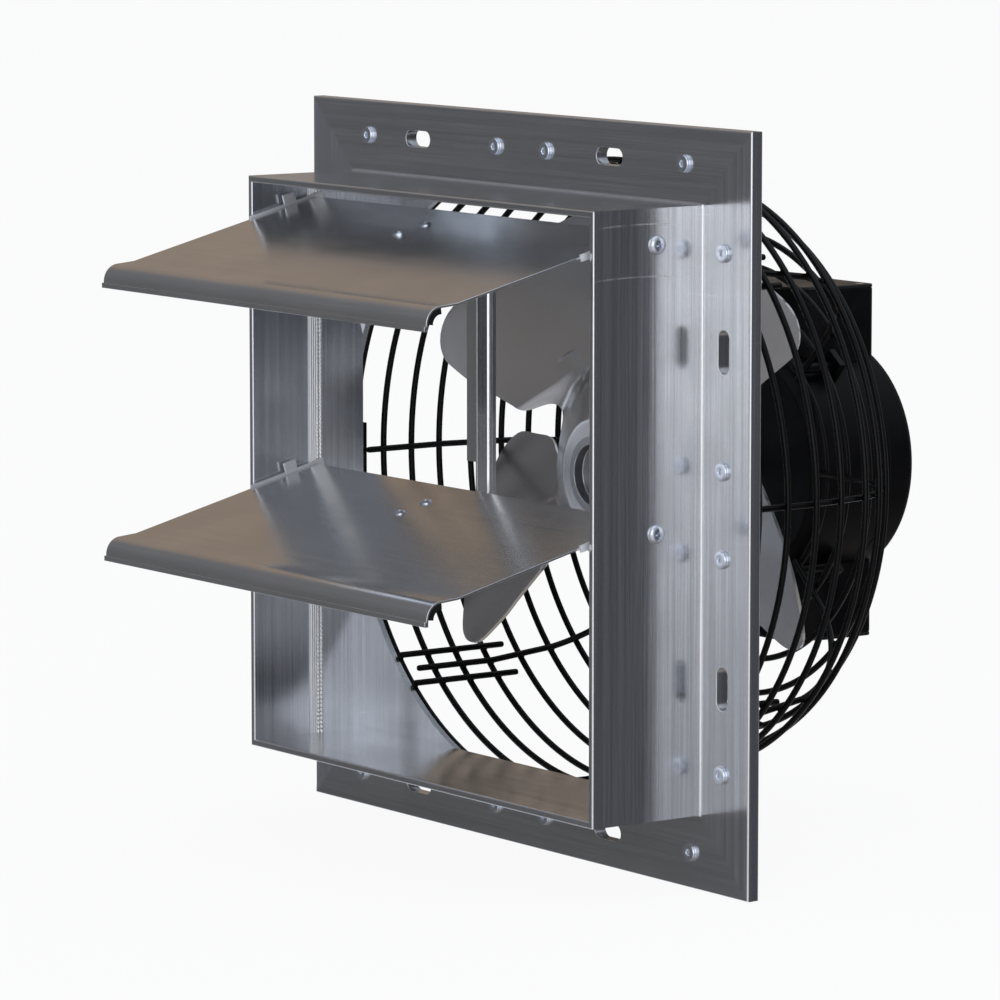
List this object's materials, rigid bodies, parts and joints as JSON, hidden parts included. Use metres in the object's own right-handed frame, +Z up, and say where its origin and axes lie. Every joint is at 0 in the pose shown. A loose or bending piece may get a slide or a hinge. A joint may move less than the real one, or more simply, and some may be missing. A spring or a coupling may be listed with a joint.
{
  "type": "gable mount shutter fan",
  "caption": "Wall-mounted exhaust fan: square flanged housing with two linked louvres in front, a bladed fan in a round wire guard and a motor behind.",
  "frame": {"origin": "centre of the mounting flange's front face, in the middle of the box", "axes": "X right, Y back from the louvres towards the motor, Z up"},
  "size_m": [0.4, 0.4019, 0.4],
  "materials": {
    "mill_aluminium": "brushed along each profile",
    "louvre_aluminium": "rolled, satin",
    "fan_aluminium": "satin",
    "zinc_steel": "zinc plated",
    "bright_steel": "bright",
    "seal_rubber": "matte",
    "guard_black": "semi-gloss",
    "motor_black": "satin",
    "hub_steel": "machined",
    "core_steel": "laminated",
    "capacitor_can": "satin",
    "gland_plastic": "moulded"
  },
  "bodies": {
    "housing": {"frame_top": "mill_aluminium", "frame_bottom": "mill_aluminium", "frame_left": "mill_aluminium", "frame_right": "mill_aluminium", "rear_plate": "mill_aluminium", "corner_rivets": "zinc_steel", "clip_rivets": "zinc_steel", "pivot_screws": "zinc_steel", "post_screws": "zinc_steel", "lid_screws": "zinc_steel", "pivot_strip_left": "bright_steel", "pivot_strip_right": "bright_steel", "guard_rings": "guard_black", "guard_ribs": "guard_black", "guard_stiffeners": "guard_black", "guard_clips": "guard_black", "motor_posts": "guard_black", "motor_lugs": "motor_black", "motor_casing": "motor_black", "motor_end_cap": "motor_black", "capacitor_box": "motor_black", "capacitor_box_lid": "motor_black", "wiring_box": "motor_black", "wiring_box_lid": "motor_black", "motor_bearings": "hub_steel", "motor_stator": "core_steel", "run_capacitor": "capacitor_can", "cable_gland": "gland_plastic"},
    "upper_louvre": {"louvre_top": "louvre_aluminium", "louvre_seal_top": "seal_rubber", "pivot_ears_top": "bright_steel", "tie_bracket_top": "louvre_aluminium", "bracket_rivets_top": "zinc_steel", "tie_pin_top": "zinc_steel"},
    "lower_louvre": {"louvre_bottom": "louvre_aluminium", "louvre_seal_bottom": "seal_rubber", "pivot_ears_bottom": "bright_steel", "tie_bracket_bottom": "louvre_aluminium", "bracket_rivets_bottom": "zinc_steel", "tie_pin_bottom": "zinc_steel"},
    "tie_bar": {"tie_bar": "louvre_aluminium"},
    "fan": {"fan_wheel": "fan_aluminium", "fan_hub": "hub_steel", "hub_set_screw": "hub_steel", "motor_shaft": "hub_steel", "rotor_core": "core_steel"}
  },
  "joints": [
    {"name": "upper_louvre_hinge", "type": "hinge", "parent": "housing", "child": "upper_louvre", "pos_m": [0, -0.03, 0.141], "axis": [1, 0, 0], "range_deg": [-12, 72]},
    {"name": "lower_louvre_hinge", "type": "hinge", "parent": "housing", "child": "lower_louvre", "pos_m": [0, -0.03, -0.009], "axis": [1, 0, 0], "range_deg": [-12, 72]},
    {"name": "tie_bar_hinge", "type": "hinge", "parent": "upper_louvre", "child": "tie_bar", "pos_m": [0, -0.02126, 0.13702], "axis": [1, 0, 0], "range_deg": [-72, 12]},
    {"name": "fan_spin", "type": "hinge", "parent": "housing", "child": "fan", "pos_m": [0, 0.07, 0], "axis": [0, 1, 0], "continuous": true}
  ],
  "couplings": [
    {"joint": "lower_louvre_hinge", "follows": "upper_louvre_hinge", "ratio": 1},
    {"joint": "tie_bar_hinge", "follows": "upper_louvre_hinge", "ratio": -1}
  ]
}
